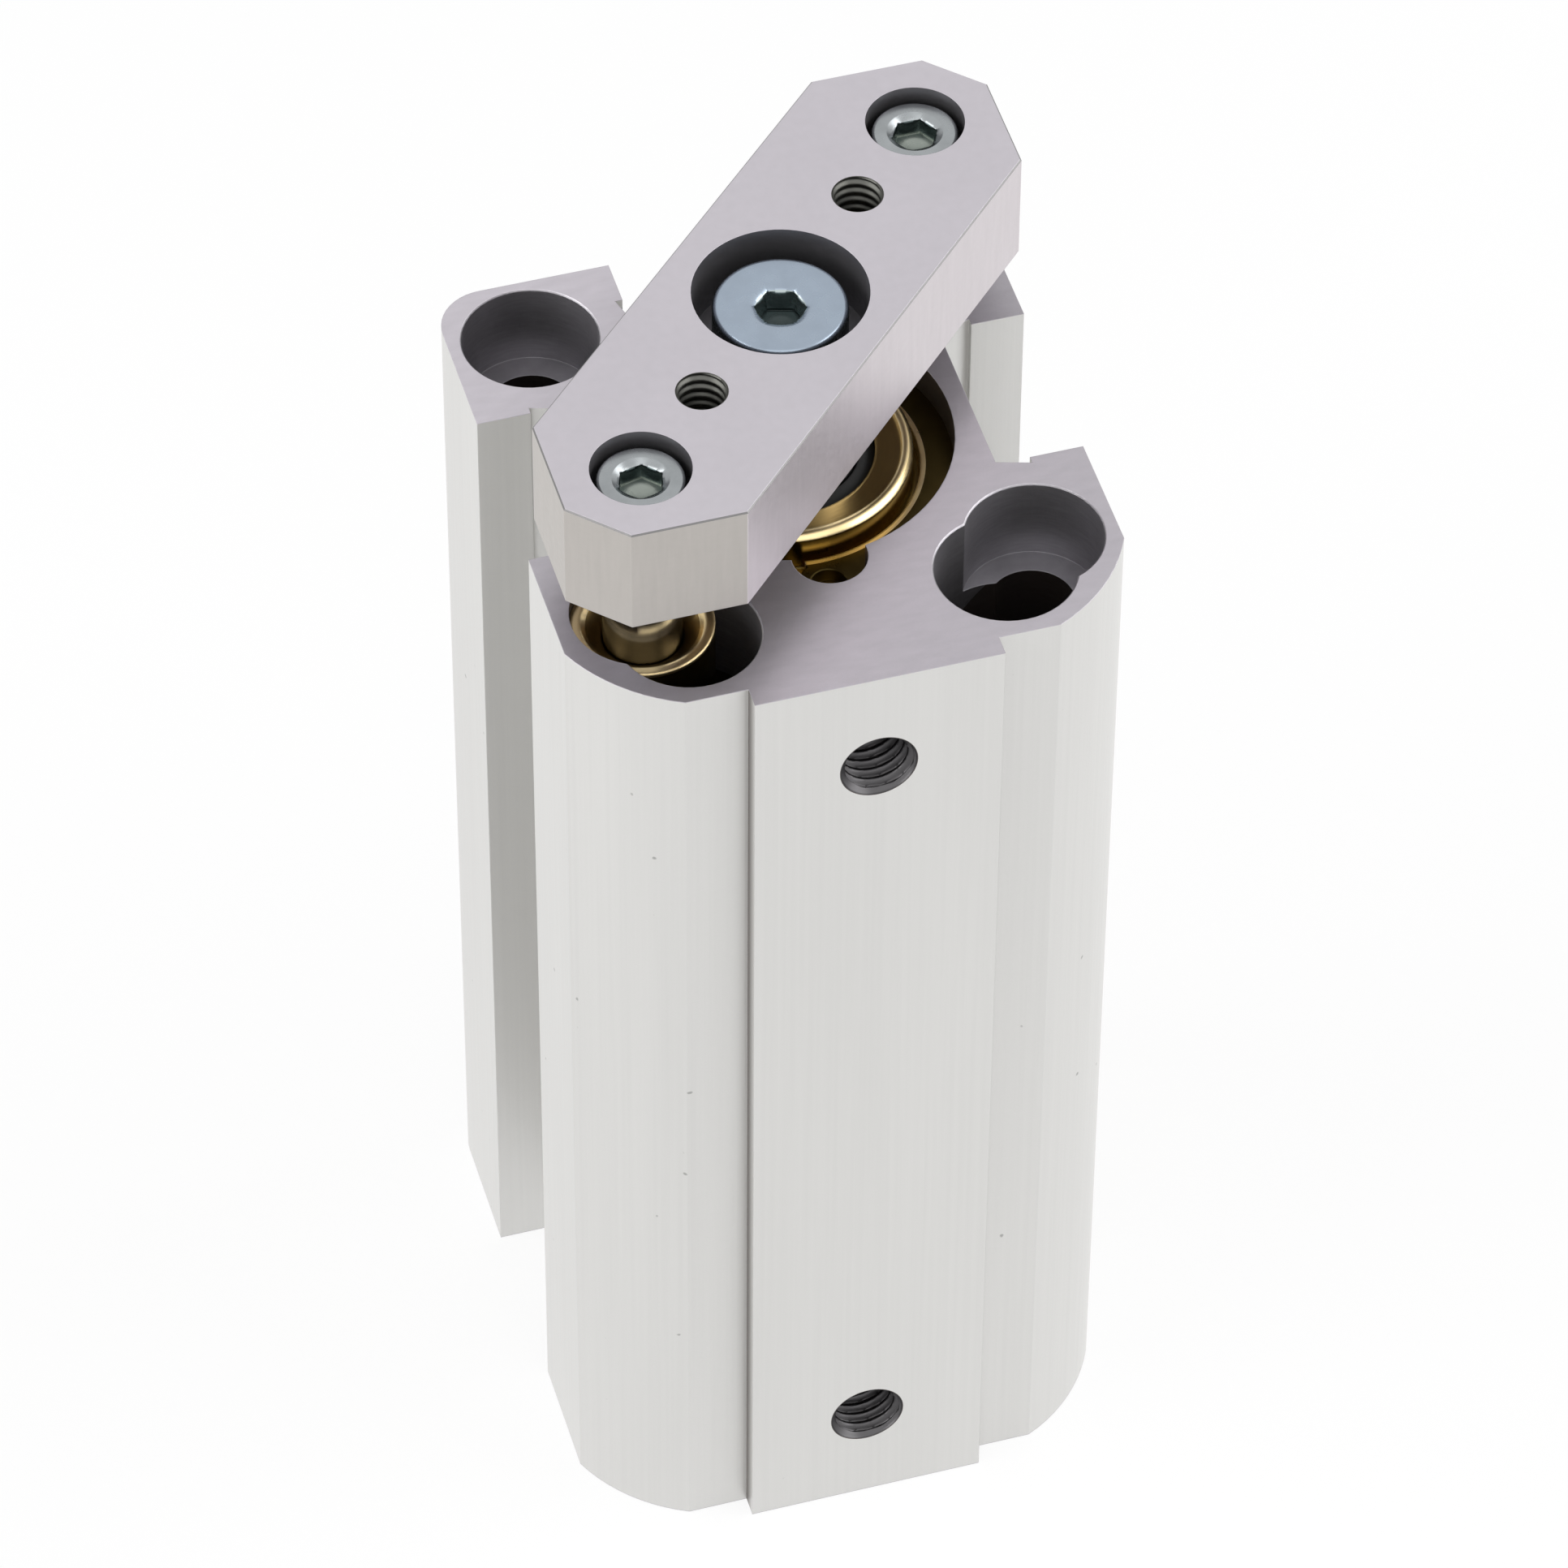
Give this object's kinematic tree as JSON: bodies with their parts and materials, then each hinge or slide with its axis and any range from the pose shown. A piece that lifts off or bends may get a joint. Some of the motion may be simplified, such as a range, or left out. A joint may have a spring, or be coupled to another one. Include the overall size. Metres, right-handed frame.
{
  "type": "guided pneumatic cylinder",
  "caption": "Compact pneumatic cylinder whose piston rod and guide rods carry a diagonal tool plate, with sensor slots and threaded ports.",
  "frame": {"origin": "on the bore axis in the base face of the barrel, the centre of the mounting holes", "axes": "+Z along the stroke, from the base face to the tool plate; -Y towards the air ports; +X to the right of the ports"},
  "size_m": [0.036, 0.0399, 0.092],
  "materials": {
    "barrel_aluminium": "extruded, clear anodised, satin",
    "plate_aluminium": "milled, clear anodised, matt",
    "cover_aluminium": "turned",
    "brass": "turned, bright",
    "ring_steel": "stamped, yellow passivated",
    "rod_chrome": "hard chromed and ground",
    "screw_steel": "zinc plated",
    "seal_rubber": "nitrile, matt",
    "wear_plastic": "moulded",
    "magnet": "plastic bonded magnet"
  },
  "bodies": {
    "cylinder": {"barrel": "barrel_aluminium", "rod_cover": "brass", "rod_cover_o_ring": "seal_rubber", "rod_wiper": "seal_rubber", "rod_seal": "seal_rubber", "rod_cover_retaining_ring": "ring_steel", "head_cover": "cover_aluminium", "head_cover_o_ring": "seal_rubber", "head_cover_retaining_ring": "ring_steel", "guide_bush_front": "brass", "guide_bush_rear": "brass"},
    "slide": {"tool_plate": "plate_aluminium", "piston_rod": "rod_chrome", "rod_screw": "screw_steel", "guide_screws": "screw_steel", "guide_rod_front": "rod_chrome", "guide_rod_rear": "rod_chrome", "piston_head_half": "cover_aluminium", "piston_rod_half": "cover_aluminium", "piston_magnet": "magnet", "piston_seal": "seal_rubber", "wear_ring": "wear_plastic", "rod_bumper": "seal_rubber", "head_bumper": "seal_rubber"}
  },
  "joints": [
    {"name": "stroke", "type": "slide", "parent": "cylinder", "child": "slide", "axis": [0, 0, 1], "range_m": [0, 0.05]}
  ]
}
